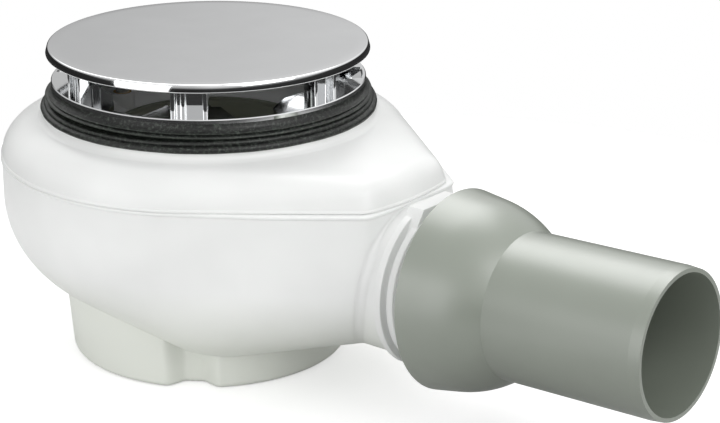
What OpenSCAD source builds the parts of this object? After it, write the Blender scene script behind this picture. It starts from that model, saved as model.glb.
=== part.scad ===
// Shower tray waste trap with a turnable ball outlet. Millimetres, +Z up.
// Origin: centre line of the tray hole, on the surface that the cup stands on.
// +X runs along the outlet neck.

/* [Cover] */
// Outside diameter of the cover plate
cover_d = 115; // [112:0.5:120]
// Height of the cover's turned-down edge
cover_edge_h = 2.9; // [2.6:0.1:4]
// Thickness of the cover plate
cover_t = 1.8; // [1.4:0.1:2.2]
// Height of the slit for the water, from the flange to the cover's edge
slit_h = 9.5; // [7:0.5:14]
// Width of a leg across the flow
leg_w = 12.6; // [9:0.2:15]
// Wall thickness of a leg
leg_t = 1.6; // [1.2:0.1:2.2]
// Radial depth of a leg's side walls
leg_depth = 5; // [4:0.5:6]
// How far a leg's back wall stands outside the edge of the tray hole
leg_out = 0.8; // [0:0.1:2]
// Angle of the first leg from the outlet
leg_turn = 5; // [-25:1:25]

/* [Flange] */
// Diameter of the hole in the shower tray
tray_hole_d = 90; // [88:0.5:91]
// How far the clamping flange reaches past the edge of the tray hole
flange_reach = 11; // [10:0.1:11.5]
// Thickness of the flange at its edge
flange_t = 1.5; // [1.2:0.1:2]
// Width of the screw seats, from the edge of the tray hole to the free way
screw_seat_w = 8.7; // [8.4:0.1:9.5]
// Width of the leg seats, from the edge of the tray hole inward
leg_seat_w = 4; // [3:0.1:5]
// Angle from the middle of a narrow leg seat to its outer corner
narrow_half_a = 17; // [15:1:20]
// Angle from the middle of a wide leg seat to its outer corner
wide_half_a = 29; // [25:1:31]
// Thickness of the leg seats
seat_t = 1.8; // [1.4:0.1:2.2]

/* [Clamp screws] */
// Thread diameter of the clamp screws
screw_d = 5; // [4:0.5:5]
// Length of a clamp screw with its countersunk head
screw_len = 25; // [20:1:30]
// Head diameter of a clamp screw
screw_head_d = 9; // [8:0.2:9.4]
// Distance of the clamp screws from the edge of the tray hole
screw_in = 4.5; // [4:0.1:4.8]
// Outside diameter of a threaded insert
insert_d = 6.8; // [6.6:0.1:7]
// Length of a threaded insert
insert_len = 9; // [7:0.5:11]

/* [Seals] */
// Height of both tray seals together
seals_h = 8.7; // [8.2:0.1:11]
// Height of the lower tray seal at its top ridge
lower_seal_h = 3.6; // [3.2:0.1:4]
// How far the lower tray seal's lip stands out past the flange
lip_out = 4.1; // [3.9:0.1:5]
// Opening angle of the gap that the tray goes into
gap_a = 1.3; // [0.5:0.1:2.2]
// Direction in which the gap is open
gap_turn = -130; // [-180:5:180]

/* [Trap body] */
// Diameter of the bowl at the welded seam
bowl_d = 149.4; // [146:0.2:154]
// Height of the seam over the stand
seam_h = 73.9; // [72:0.1:76]
// Height of the seat for the lower tray seal
neck_h = 90.9; // [90:0.1:92.5]
// How far the neck stays back from the lip of the lower tray seal
neck_in = 0.9; // [0.8:0.1:1.1]
// Height at which the bowl's underside starts to turn in
bowl_turn_h = 59.6; // [58:0.2:61]
// Width of the rounding of the bowl's underside
bowl_round = 50; // [46:0.5:54]
// Depth of the bowl's underside below the height where it turns in
bowl_drop = 42.2; // [40:0.2:44]
// Distance of the two heels from the centre line, along the outlet
heel_x = 26.8; // [24:0.2:29]
// Distance of each heel from the outlet's plane, to its side
heel_y = 21; // [19:0.2:23]
// Height of the heels' middle
heel_h = 43.8; // [42:0.2:46]
// Radius of a heel in the plan
heel_r = 40; // [37:0.2:40.4]
// Depth of a heel below its middle
heel_drop = 34; // [30:0.2:36]
// Wall thickness of both shells
wall = 2.5; // [2:0.1:3]
// Distance from the centre line to the end of the outlet side
arm_reach = 93.4; // [91:0.2:95]
// Half the width of the outlet side at the seam
arm_half_w = 21.5; // [19:0.5:24]
// Corner radius of the outlet side
arm_corner_r = 4; // [3.5:0.5:6]
// How far the seam's bead stands proud
bead_out = 0.7; // [0.4:0.1:1]
// Height of the seam's bead
bead_h = 2.6; // [2:0.2:3.6]

/* [Cup] */
// Diameter of the cup at the bowl
cup_d = 103.6; // [101:0.2:105]
// Draft of the cup on its radius, from the bowl down to the stand
cup_draft = 1.4; // [0.4:0.1:2]
// Distance of the cup's centre from the centre line, away from the outlet
cup_back = 2; // [1:0.1:4]
// Depth of the three flutes
flute_depth = 5.6; // [4:0.2:7]
// Angle from the middle of a flute to the end of its rounded side
flute_half_a = 11.5; // [10:0.5:14]
// Height of the weir, the overflow edge inside
weir_h = 60; // [58:0.5:62]

/* [Trap insert] */
// How much narrower the insert's rim is than the free way
rim_play = 0.8; // [0.6:0.1:1.4]
// Diameter of the dip tube
dip_d = 54; // [50:0.5:58]
// Depth of the water seal, from the weir to the dip tube's end
seal_depth = 50; // [48:0.5:52]
// Height of the ledge that the insert's rim rests on
ledge_h = 80.4; // [79:0.2:81.4]
// Wall thickness of the insert
insert_t = 2; // [1.6:0.1:2.4]

/* [Outlet] */
// Distance from the seam down to the top of the outlet neck
neck_under_seam = 0.7; // [0.5:0.1:1.5]
// Distance from the centre line to the middle of the ball
ball_x = 118.5; // [118:0.1:122]
// Diameter of the ball
ball_d = 55; // [54:0.2:55.6]
// Outside diameter of the trap's outlet neck
outlet_neck_d = 53.6; // [53.2:0.1:54]
// Distance from the centre line to the outlet neck's root
neck_root = 80; // [78:0.2:84]
// Distance from the centre line to the end of the outlet neck
outlet_neck_end = 98.2; // [97:0.2:98.6]
// How far the outlet's collar stands out past the outlet neck
collar_out = 2.1; // [1.4:0.1:2.7]
// Outside diameter of the tailpipe
pipe_d = 50.3; // [49.5:0.1:50.6]
// Wall thickness of the tailpipe
pipe_t = 1.8; // [1.6:0.1:2.2]
// Distance from the middle of the ball to the tailpipe's mouth
pipe_reach = 80; // [60:1:140]
// Angle at which the tailpipe rises
pipe_rise = 1.8; // [-4:0.1:4]
// Wall thickness of the ball socket at its back edge
socket_wall = 4.9; // [4.6:0.1:5.5]

/* [Hidden] */

$fn = 96;
eps = 0.01;

// Fineness of the blended shells, outside and inside
shell_fn = 96;
cavity_fn = 48;

// Diameters that follow from the tray hole
flange_d = tray_hole_d + 2 * flange_reach;
way_d = tray_hole_d - 2 * screw_seat_w;
seat_in_r = tray_hole_d / 2 - leg_seat_w;
leg_r = tray_hole_d / 2 + leg_out;
screw_r = tray_hole_d / 2 - screw_in;
lip_d = flange_d + 2 * lip_out;
neck_d = lip_d - 2 * neck_in;
insert_rim_d = way_d - rim_play;

// Height of the outlet's centre line over the stand
outlet_h = seam_h - neck_under_seam - outlet_neck_d / 2;

// Heights of the clamped stack over the stand
flange_top = neck_h + seals_h + flange_t;
cover_top = flange_top + slit_h + cover_edge_h;

// Patterns round the centre line
leg_count = 6;
screw_count = 3;
leg_step = 360 / leg_count;
screw_step = 360 / screw_count;
screw_turn = leg_turn - leg_step;

// Clearances between parts that stay put
fit_gap = 0.1;
ring_gap = 0.02;

// Cover details
cover_edge_t = 1.6;
cover_round = 0.7;

// Flange details, from its top face down
dish_drop_out = 1.9;
dish_drop_in = 3.6;
dish_t = 1.4;
dish_out_r = flange_d / 2 - 2;
sleeve_out_r = tray_hole_d / 2 - 0.4;
sleeve_t = 1.2;
sleeve_drop = 9.6;
nose_half_w = 6;
rib_t = 1.5;

// Screw details
screw_play = 0.4;
head_h = (screw_head_d - screw_d) / 2 + 0.5;
socket_key_d = 3.4;
socket_key_depth = 1.6;

// Seals: hole radius in both, and where they meet
seal_in_r = tray_hole_d / 2 + 0.2;
split_h = neck_h + lower_seal_h;

// Inside of the upper shell
seat_plate_t = 3;
funnel_in_r = tray_hole_d / 2 + 0.6;
boss_d = 8.6;
boss_len = 13;
ledge_r = way_d / 2 + 0.1;
sleeve_r = insert_rim_d / 2 - 1.1;
sleeve_end_h = 66;
funnel_t = 2.4;

// Dome of the upper shell: an elliptic round from the seam to the neck
dome_in_r = neck_d / 2 - 0.3;
dome_h = neck_h - 3.4 - seam_h;
dome_end_a = 80;

// Cup, weir and insert
floor_t = 2.6;
cup_round = 2.4;
cup_wall = 2.3;
cup_rise = 19;
weir_draft = 2.4;
flute_ramp_a = 8;
lobe_step_a = 2.5;
dip_end_h = weir_h - seal_depth;
o_ring_d = 2;

// Outlet
collar_x = outlet_neck_end + fit_gap;
collar_d = outlet_neck_d + 2 * collar_out;
collar_t = 3.8;
groove_t = 1.3;
band_t = 1.2;
band_d = collar_d - 3.2;
groove_d = collar_d - 5.2;
key_half_a = 22;
spigot_sleeve_d = outlet_neck_d - 5.2;
spigot_sleeve_len = 12;
ball_neck_d = ball_d - 6.6;
spigot_bore_d = ball_neck_d - 5.6;
ball_front = 10;
ball_gap = 0.3;
seal_t = 1.5;
lip_t = 2.4;
socket_back = 7.7;
socket_in_r = ball_d / 2 + 2 * ball_gap + seal_t;
socket_lip_r = ball_d / 2 + ball_gap;
cone_len = 9.8;
cone_drop = 1.4;
socket_round = 38.8;
mouth_bevel = 0.35;
mouth_bevel_len = 4;
ball_seal_from = 0.4;
ball_seal_to = 7;

// Points on an arc, angles from a0 to a1
function arc(cx, cy, rx, ry, a0, a1, n) =
    [for (i = [0:n]) let (a = a0 + (a1 - a0) * i / n) [cx + rx * cos(a), cy + ry * sin(a)]];

// Places its children round the centre line
module ring_of(count, turn, radius) {
    for (i = [0:count - 1]) rotate(turn + i * 360 / count) translate([radius, 0, 0]) children();
}

// Turns what stands on Z so that it lies along +X at the outlet's height
module on_outlet(x = 0) {
    translate([x, 0, outlet_h]) rotate([0, 90, 0]) children();
}

// Turns what stands on Z so that it lies along the risen tailpipe, from the ball's middle
module on_pipe(x = 0) {
    translate([ball_x, 0, outlet_h]) rotate([0, 90 - pipe_rise, 0]) translate([0, 0, x]) children();
}

// Round band between two radii and two heights
module band(r_in, r_out, h_low, h_high) {
    difference() {
        translate([0, 0, h_low]) cylinder(r = r_out, h = h_high - h_low);
        translate([0, 0, h_low - 1]) cylinder(r = r_in, h = h_high - h_low + 2);
    }
}

// Cover: a chromed plate with a turned-down edge, on six channel legs
module cover_leg() {
    h = cover_top - cover_t - flange_top + eps;
    translate([0, 0, flange_top]) {
        translate([0, -leg_w / 2, 0]) cube([leg_t, leg_w, h]);
        for (side = [-1, 1]) translate([0, side * (leg_w - leg_t) / 2 - leg_t / 2, 0])
            cube([leg_depth, leg_t, h]);
        translate([0, -leg_w / 4, 0]) cube([leg_depth / 2, leg_t, h]);
    }
}

module cover() {
    edge_low = cover_top - cover_edge_h;
    r = cover_d / 2;
    color("#d9dbdc") {
        rotate_extrude() polygon(concat(
            [[0, cover_top - cover_t], [r - cover_edge_t, cover_top - cover_t],
                [r - cover_edge_t, edge_low], [r - cover_round / 2, edge_low],
                [r, edge_low + cover_round / 2]],
            arc(r - cover_round, cover_top - cover_round, cover_round, cover_round, 0, 90, 6),
            [[0, cover_top]]));
        ring_of(leg_count, leg_turn, leg_r) cover_leg();
    }
}

// Flange: a chromed dish with six leg seats, three of them with a screw seat
module leg_seat(half_a) {
    r = dish_out_r + 1.3;
    waist_a = half_a * 0.9;
    waist_r = seat_in_r + (dish_out_r - seat_in_r) * 0.6;
    in_a = 13;
    translate([0, 0, flange_top - seat_t]) linear_extrude(seat_t) polygon(concat(
        [for (k = [0:8]) let (a = -half_a + half_a * k / 4) [r * cos(a), r * sin(a)]],
        [[waist_r * cos(waist_a), waist_r * sin(waist_a)]],
        [for (k = [0:4]) let (a = in_a - in_a * k / 2) [seat_in_r * cos(a), seat_in_r * sin(a)]],
        [[waist_r * cos(waist_a), -waist_r * sin(waist_a)]]));
}

module screw_nose() {
    nose_r = nose_half_w;
    tip = way_d / 2;
    intersection() {
        translate([0, 0, flange_top - seat_t]) union() {
            translate([screw_r, 0, 0]) cylinder(r = nose_r, h = seat_t);
            translate([screw_r, -nose_r, 0]) cube([8, 2 * nose_r, seat_t]);
        }
        band(tip, dish_out_r, flange_top - 2 * seat_t, flange_top + 1);
    }
}

module seat_rib() {
    from = sleeve_out_r - sleeve_t / 2;
    translate([from, -rib_t / 2, flange_top - dish_drop_in - 1])
        cube([dish_out_r - from, rib_t, dish_drop_in + 1 - seat_t / 2]);
}

module flange_ring() {
    r = flange_d / 2;
    low = flange_top - sleeve_drop;
    color("#d2d5d7") difference() {
        union() {
            rotate_extrude() polygon([
                [r - 0.3, flange_top], [r, flange_top - 0.3], [r, flange_top - flange_t],
                [dish_out_r + 1, flange_top - flange_t],
                [dish_out_r, flange_top - dish_drop_out],
                [sleeve_out_r + 1, flange_top - dish_drop_in - dish_t],
                [sleeve_out_r, flange_top - dish_drop_in - dish_t - 0.5],
                [sleeve_out_r, low], [sleeve_out_r - sleeve_t, low],
                [sleeve_out_r - sleeve_t, flange_top - dish_drop_in - 1],
                [sleeve_out_r + 0.6, flange_top - dish_drop_in],
                [dish_out_r + 0.3, flange_top - flange_t / 2], [dish_out_r + 0.8, flange_top]]);
            intersection() {
                union() for (i = [0:leg_count - 1]) rotate(leg_turn + i * leg_step) {
                    leg_seat(i % 2 == 0 ? wide_half_a : narrow_half_a);
                    for (side = [-1, 1]) rotate(side * narrow_half_a / 2) seat_rib();
                }
                rotate_extrude() polygon([
                    [way_d / 2, flange_top], [r - 1, flange_top],
                    [r - 1, flange_top - flange_t / 2],
                    [sleeve_out_r - sleeve_t / 2, flange_top - dish_drop_in - 0.8],
                    [sleeve_out_r - sleeve_t / 2, flange_top - seat_t],
                    [way_d / 2, flange_top - seat_t]]);
            }
            ring_of(screw_count, screw_turn, 0) screw_nose();
        }
        ring_of(screw_count, screw_turn, screw_r) {
            translate([0, 0, flange_top - 2 * seat_t]) cylinder(d = screw_d + screw_play, h = 3 * seat_t);
            translate([0, 0, flange_top - head_h + eps])
                cylinder(d1 = screw_d + screw_play, d2 = screw_head_d + screw_play, h = head_h);
        }
    }
}

// Clamp screws: countersunk, with a hexagon socket
module clamp_screws() {
    color("#9ea1a3") ring_of(screw_count, screw_turn, screw_r) difference() {
        union() {
            translate([0, 0, flange_top - screw_len]) cylinder(d = screw_d - 0.1, h = screw_len);
            translate([0, 0, flange_top - head_h])
                cylinder(d1 = screw_d - 0.1, d2 = screw_head_d, h = head_h);
        }
        translate([0, 0, flange_top - socket_key_depth])
            cylinder(d = socket_key_d, h = socket_key_depth + 1, $fn = 6);
    }
}

// Threaded brass inserts, moulded into the upper shell's bosses
module screw_inserts() {
    low = neck_h - seat_plate_t - insert_len;
    color("#b5934f") ring_of(screw_count, screw_turn, screw_r)
        band(screw_d / 2, insert_d / 2, low, low + insert_len);
}

// Wedge of space where the tray's edge goes in, open to one side
module tray_gap(side) {
    reach = lip_d;
    rotate(gap_turn) translate([0, 0, split_h]) rotate([0, -side * gap_a / 2, 0])
        translate([-reach, -reach, side > 0 ? -reach : 0]) cube([2 * reach, 2 * reach, reach]);
}

// Upper tray seal: rubber, pressed on the tray by the flange
module upper_tray_seal() {
    r = flange_d / 2;
    color("#33363a") difference() {
        rotate_extrude() polygon([
            [seal_in_r, split_h],
            [seal_in_r, flange_top - dish_drop_in - dish_t - 0.3],
            [sleeve_out_r + 1, flange_top - dish_drop_in - dish_t],
            [dish_out_r, flange_top - dish_drop_out],
            [dish_out_r + 1, flange_top - flange_t], [r - 0.7, flange_top - flange_t],
            [r - 0.4, flange_top - 3], [r + 0.9, flange_top - 4.3], [r + 1.4, flange_top - 4.7],
            [r + 1.1, flange_top - 5.2], [r + 2.1, flange_top - 5.6],
            [r + 2.2, flange_top - 6.1], [r + 1.8, split_h]]);
        tray_gap(1);
    }
}

// Lower tray seal: rubber, on the trap's neck, with a lip over its edge
module lower_tray_seal() {
    r = lip_d / 2;
    color("#33363a") difference() {
        rotate_extrude() polygon([
            [seal_in_r, neck_h], [neck_d / 2 + fit_gap, neck_h],
            [neck_d / 2 + fit_gap, neck_h - 0.5], [r - 0.2, neck_h - 0.5],
            [r, neck_h + 0.3], [r - 0.4, neck_h + 1.3], [r - 1.5, neck_h + 1.7],
            [r - 1.2, neck_h + 2.1], [r - 1.4, neck_h + 2.8], [r - 2.8, split_h],
            [seal_in_r, split_h]]);
        tray_gap(-1);
    }
}

// Plan of both shells: the bowl's circle drawn out to the outlet side
module arm_posts(inset, low, high, fn) {
    r = arm_corner_r - inset;
    for (side = [-1, 1])
        translate([arm_reach - arm_corner_r, side * (arm_half_w - arm_corner_r), low])
            cylinder(r = r, h = high - low, $fn = fn);
}

module seam_bead(low, high) {
    difference() {
        hull() {
            translate([0, 0, low]) cylinder(r = bowl_d / 2 + bead_out, h = high - low);
            arm_posts(-bead_out, low, high, 32);
        }
        hull() {
            translate([0, 0, low - 1]) cylinder(r = bowl_d / 2 - wall, h = high - low + 2);
            arm_posts(wall, low - 1, high + 1, 32);
        }
    }
}

// Upper shell: dome, seat, funnel, sleeve and screw bosses in one moulding
module dome(inset, low, fn) {
    rx = bowl_d / 2 - dome_in_r - inset;
    intersection() {
        hull() {
            rotate_extrude($fn = fn) polygon(concat(
                [[0, low]], [[bowl_d / 2 - inset, low]],
                arc(dome_in_r, seam_h, rx, dome_h - inset, 0, dome_end_a, 8),
                [[0, seam_h + (dome_h - inset) * sin(dome_end_a)]]));
            arm_posts(inset, low, seam_h + 1, 32);
            for (side = [-1, 1])
                translate([arm_reach - arm_corner_r, side * (arm_half_w - arm_corner_r), seam_h + 1])
                    sphere(r = arm_corner_r - inset, $fn = 32);
        }
        translate([-bowl_d, -bowl_d, low]) cube([2 * bowl_d, 2 * bowl_d, bowl_d]);
    }
}

module upper_shell() {
    seat_low = neck_h - seat_plate_t;
    neck_low = seam_h + dome_h - 3;
    color("#eef0f0") difference() {
        union() {
            difference() {
                dome(0, seam_h, shell_fn);
                dome(wall, seam_h - 1, cavity_fn);
                translate([0, 0, seam_h]) cylinder(d = neck_d - 2 * wall, h = neck_h);
            }
            seam_bead(seam_h, seam_h + bead_h / 2);
            rotate_extrude() polygon(concat(
                [[funnel_in_r, neck_h], [funnel_in_r, neck_h - 2.8],
                    [ledge_r, ledge_h + 1.6], [ledge_r, ledge_h], [sleeve_r, ledge_h],
                    [sleeve_r, sleeve_end_h], [sleeve_r + funnel_t, sleeve_end_h],
                    [sleeve_r + funnel_t, ledge_h - 1.4],
                    [funnel_in_r + funnel_t, seat_low - 1], [funnel_in_r + 4, seat_low],
                    [neck_d / 2 - wall, seat_low], [neck_d / 2 - wall, neck_low],
                    [neck_d / 2 + 1, neck_low]],
                arc(neck_d / 2 + 2.2, neck_h - 1.2, 2.2, 2.2, 250, 180, 5),
                [[neck_d / 2, neck_h]]));
            ring_of(screw_count, screw_turn, screw_r)
                translate([0, 0, seat_low - boss_len]) cylinder(d = boss_d, h = boss_len);
        }
        ring_of(screw_count, screw_turn, screw_r) {
            translate([0, 0, seat_low - insert_len]) cylinder(d = insert_d, h = insert_len + 5);
            translate([0, 0, seat_low - boss_len - 1]) cylinder(d = screw_d + 0.6, h = boss_len);
        }
    }
}

// Radius of the fluted cup and weir at an angle: three flutes under the screws
function off_flute(a) =
    abs((a - screw_turn + 7 * screw_step + screw_step / 2) % screw_step - screw_step / 2);
function ease(t) = let (c = min(1, max(0, t))) c * c * (3 - 2 * c);
function fluted(r, a) = r - flute_depth * ease((flute_half_a - off_flute(a)) / flute_ramp_a);

// Closed solid through fluted rings given as [radius, height]
module fluted_loft(rings) {
    n = floor(360 / lobe_step_a);
    m = len(rings);
    points = concat(
        [for (ring = rings) for (i = [0:n - 1]) let (a = i * lobe_step_a, r = fluted(ring[0], a))
            [r * cos(a) - cup_back, r * sin(a), ring[1]]],
        [[-cup_back, 0, rings[0][1]], [-cup_back, 0, rings[m - 1][1]]]);
    sides = [for (k = [0:m - 2]) for (i = [0:n - 1]) let (j = (i + 1) % n)
        [k * n + i, (k + 1) * n + i, (k + 1) * n + j, k * n + j]];
    low = [for (i = [0:n - 1]) [m * n, i, (i + 1) % n]];
    high = [for (i = [0:n - 1]) [m * n + 1, (m - 1) * n + (i + 1) % n, (m - 1) * n + i]];
    polyhedron(points = points, faces = concat(sides, low, high));
}

module cup_outside() {
    r = cup_d / 2;
    fluted_loft([[r - cup_draft - cup_round, 0], [r - cup_draft - 0.3 * cup_round, 0.3 * cup_round],
        [r - cup_draft, cup_round], [r, cup_rise], [r - weir_draft, weir_h]]);
}

module cup_inside() {
    r = cup_d / 2 - cup_wall;
    fluted_loft([[r - cup_draft, floor_t], [r, cup_rise], [r - weir_draft, weir_h + 1]]);
}

// Lower shell: bowl, outlet neck, fluted cup and weir in one moulding
module heel(inset, fn) {
    rotate_extrude($fn = fn) polygon(concat([[0, heel_h]],
        arc(0, heel_h, heel_r - inset, heel_drop - inset, -90, 0, 7)));
}

// Hull of the bowl, its two deep heels on the outlet side, the neck's root and the corners
module bowl(inset, high, fn) {
    centre_r = bowl_d / 2 - bowl_round;
    hull() {
        rotate_extrude($fn = fn) polygon(concat(
            [[0, high], [0, bowl_turn_h - bowl_drop + inset]],
            arc(centre_r, bowl_turn_h, bowl_round - inset, bowl_drop - inset, -90, 0, 10),
            [[bowl_d / 2 - inset, high]]));
        for (side = [-1, 1]) translate([heel_x, side * heel_y, 0]) heel(inset, fn / 2);
        on_outlet(neck_root - inset - 20) cylinder(d = outlet_neck_d - 2 * inset, h = 20, $fn = fn);
        arm_posts(inset, high - 8, high, 32);
    }
}

module lower_shell() {
    neck_bore_d = spigot_sleeve_d + 2 * fit_gap;
    bore_from = neck_root - 8;
    color("#eef0f0") difference() {
        union() {
            difference() {
                union() {
                    bowl(0, seam_h, shell_fn);
                    on_outlet(bore_from) cylinder(d = outlet_neck_d, h = outlet_neck_end - bore_from);
                }
                difference() {
                    bowl(wall, seam_h + 1, cavity_fn);
                    cup_outside();
                }
            }
            seam_bead(seam_h - bead_h / 2, seam_h);
            cup_outside();
        }
        cup_inside();
        on_outlet(bore_from) cylinder(d = neck_bore_d, h = 30);
        translate([0, 0, weir_h]) cylinder(d = cup_d + 5, h = 30);
    }
}

// Trap insert: rim, dish, dip tube and grip, lifted out for cleaning
module trap_insert() {
    rim_r = insert_rim_d / 2;
    skirt_r = sleeve_r - fit_gap - 0.2;
    dip_r = dip_d / 2;
    ring_low = ledge_h - 8;
    color("#6f736b") {
        difference() {
            rotate_extrude() polygon([
                [rim_r, ledge_h], [rim_r, ledge_h + 1.2], [rim_r - 0.4, ledge_h + 1.6],
                [rim_r - 2.4, ledge_h + 1.6], [rim_r - 2.8, ledge_h + 0.4],
                [dip_r + 1, ledge_h - 3], [dip_r - insert_t, ledge_h - 6],
                [dip_r - insert_t, dip_end_h], [dip_r, dip_end_h],
                [dip_r, ring_low - 3], [skirt_r, ring_low - 1], [skirt_r, ledge_h]]);
            rotate_extrude() translate([sleeve_r - o_ring_d, ring_low + 1])
                square([o_ring_d, o_ring_d + 0.4]);
        }
        intersection() {
            translate([-dip_r, -insert_t / 2, ledge_h - 9]) cube([2 * dip_r, insert_t, 9]);
            translate([0, 0, dip_end_h]) cylinder(r = dip_r - insert_t / 2, h = ledge_h);
        }
    }
}

// Ring seal between the insert and its sleeve
module insert_seal() {
    ring_low = ledge_h - 8;
    section_r = o_ring_d / 2;
    color("#26282a") rotate_extrude()
        translate([sleeve_r - section_r, ring_low + 1.2 + section_r])
            circle(r = section_r - ring_gap, $fn = 24);
}

// Ball spigot: sleeve, grooved collar and ball, fixed in the outlet neck
module ball_spigot() {
    r = ball_d / 2;
    end_x = collar_x + collar_t + groove_t + band_t;
    color("#f2f3f2") difference() {
        union() {
            on_outlet(collar_x - spigot_sleeve_len)
                cylinder(d = spigot_sleeve_d, h = spigot_sleeve_len + eps);
            on_outlet(collar_x) rotate_extrude() polygon([
                [0, 0], [collar_d / 2 - 0.6, 0], [collar_d / 2, 0.6],
                [collar_d / 2, collar_t - 0.6], [collar_d / 2 - 0.6, collar_t],
                [groove_d / 2, collar_t], [groove_d / 2, collar_t + groove_t],
                [band_d / 2, collar_t + groove_t], [band_d / 2, end_x - collar_x - 0.5],
                [band_d / 2 - 0.5, end_x - collar_x], [0, end_x - collar_x]]);
            on_outlet(end_x - eps) cylinder(d = ball_neck_d, h = ball_x - end_x);
            intersection() {
                on_outlet(ball_x) sphere(r = r);
                on_outlet(end_x) cylinder(r = r + 1, h = ball_x + ball_front - end_x);
            }
            intersection() {
                on_outlet(collar_x + 0.6) cylinder(d = collar_d, h = end_x - collar_x - 0.6);
                translate([collar_x, 0, outlet_h]) rotate([90, 0, 90]) linear_extrude(collar_d)
                    polygon([[0, 0], for (k = [-2:2])
                        collar_d * [sin(k * key_half_a / 2), cos(k * key_half_a / 2)]]);
            }
        }
        on_outlet(collar_x - spigot_sleeve_len - 1) cylinder(d = spigot_bore_d, h = ball_x);
        on_outlet(collar_x - 6 - o_ring_d)
            band(spigot_sleeve_d / 2 - o_ring_d + 0.3, spigot_sleeve_d, 0, o_ring_d);
    }
}

// Ring seal between the spigot and the outlet neck
module spigot_seal() {
    section_r = 0.88;
    bore_r = spigot_sleeve_d / 2 + fit_gap;
    color("#26282a") on_outlet(collar_x - 6 - o_ring_d / 2) rotate_extrude()
        translate([bore_r - ring_gap - section_r, 0]) circle(r = section_r, $fn = 24);
}

// Ball seal: a rubber ring cut from a hollow sphere, between ball and socket
module ball_seal() {
    r = ball_d / 2 + ball_gap;
    color("#26282a") intersection() {
        on_outlet(ball_x) difference() {
            sphere(r = r + seal_t);
            sphere(r = r);
        }
        on_outlet(ball_x + ball_seal_from) cylinder(r = r + 10, h = ball_seal_to - ball_seal_from);
    }
}

// Tailpipe: ball socket and pipe in one moulding
module tailpipe() {
    r = pipe_d / 2;
    back_r = socket_in_r + socket_wall;
    cone_end = cone_len - socket_back;
    cone_r = back_r - cone_drop;
    slope = atan(cone_drop / cone_len);
    bore_r = r - pipe_t;
    color("#a9ada4") difference() {
        on_pipe() rotate_extrude() {
            polygon([[0, -socket_back], [back_r - 0.8, -socket_back], [back_r, 0.8 - socket_back],
                [cone_r, cone_end], [0, cone_end]]);
            intersection() {
                translate([cone_r - socket_round * cos(slope), cone_end - socket_round * sin(slope)])
                    circle(r = socket_round, $fn = 180);
                translate([0, cone_end - eps]) square([back_r, 30]);
            }
            polygon([[0, 0], [r, 0], [r, pipe_reach - mouth_bevel_len],
                [r - mouth_bevel, pipe_reach], [0, pipe_reach]]);
        }
        on_pipe() difference() {
            sphere(r = socket_in_r);
            translate([0, 0, lip_t - socket_back - socket_in_r])
                cylinder(r = socket_in_r + 5, h = socket_in_r);
        }
        on_pipe() sphere(r = socket_lip_r);
        on_pipe(10) cylinder(r = bore_r, h = pipe_reach);
    }
}

cover();
flange_ring();
clamp_screws();
screw_inserts();
upper_tray_seal();
lower_tray_seal();
upper_shell();
lower_shell();
trap_insert();
insert_seal();
ball_spigot();
spigot_seal();
ball_seal();
tailpipe();
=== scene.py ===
"""Looks of the shower tray waste trap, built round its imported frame."""

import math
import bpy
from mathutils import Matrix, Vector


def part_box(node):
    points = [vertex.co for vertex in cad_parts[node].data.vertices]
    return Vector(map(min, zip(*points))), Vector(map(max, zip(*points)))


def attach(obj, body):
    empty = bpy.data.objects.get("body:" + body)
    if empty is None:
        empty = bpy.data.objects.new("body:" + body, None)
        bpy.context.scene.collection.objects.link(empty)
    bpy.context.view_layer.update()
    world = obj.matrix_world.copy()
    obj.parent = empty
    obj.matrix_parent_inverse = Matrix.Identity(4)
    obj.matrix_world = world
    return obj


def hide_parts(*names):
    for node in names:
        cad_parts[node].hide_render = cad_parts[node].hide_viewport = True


bl_info = {
    "name": "Shower Tray Waste Trap",
    "version": (1, 0, 0),
    "blender": (4, 5, 0),
    "location": "View3D > Sidebar > Waste Trap",
    "description": "Moulded shells, tray seals, finishes and stage for a shower tray waste trap",
    "category": "Add Mesh",
}

import bmesh
import bpy
from bpy.props import FloatProperty, FloatVectorProperty, IntProperty, PointerProperty
from bpy.types import Operator, Panel, PropertyGroup
from mathutils import Vector
from mathutils.bvhtree import BVHTree

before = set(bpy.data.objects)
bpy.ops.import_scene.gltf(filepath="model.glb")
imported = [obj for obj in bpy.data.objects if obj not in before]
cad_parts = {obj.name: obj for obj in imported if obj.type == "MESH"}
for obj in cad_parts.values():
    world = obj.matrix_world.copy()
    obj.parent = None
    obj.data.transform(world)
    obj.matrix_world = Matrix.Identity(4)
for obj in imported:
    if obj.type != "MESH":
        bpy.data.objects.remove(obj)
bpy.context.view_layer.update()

PHOTO_WIDTH = 720
PHOTO_HEIGHT = 423
TURN = 2 * math.pi


def length(name, description, default):
    """A size in metres, as a property."""
    return FloatProperty(name=name, description=description, default=default,
                         unit="LENGTH", subtype="DISTANCE", precision=5)


def tint(name, description, default):
    """A colour, as a property."""
    return FloatVectorProperty(name=name, description=description, default=default,
                               size=3, min=0, max=1, subtype="COLOR")


# Settings


class TrapColours(PropertyGroup):
    """Colours of the trap's finishes."""

    white: tint("White Plastic", "Colour of the two shells", (0.86, 0.87, 0.86))
    # Painted shade: the shells' white blends to this darker, greener colour lower down, at the cup.
    white_painted_shade: tint("White Plastic Below", "Colour of the shells at the cup", (0.80, 0.825, 0.765))
    spigot: tint("Spigot Plastic", "Colour of the ball spigot", (0.84, 0.85, 0.84))
    pipe: tint("Pipe Plastic", "Colour of the tailpipe", (0.255, 0.282, 0.238))
    insert: tint("Insert Plastic", "Colour of the lift-out insert", (0.24, 0.25, 0.19))
    rubber: tint("Rubber", "Colour of the seals", (0.007, 0.0085, 0.007))
    chrome: tint("Chrome", "Colour of the plated cover and flange", (0.86, 0.868, 0.875))
    steel: tint("Steel", "Colour of the clamp screws", (0.56, 0.56, 0.57))
    brass: tint("Brass", "Colour of the threaded inserts", (0.60, 0.44, 0.18))
    floor: tint("Floor", "Colour of the floor under the bowl", (0.74, 0.74, 0.74))


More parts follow.
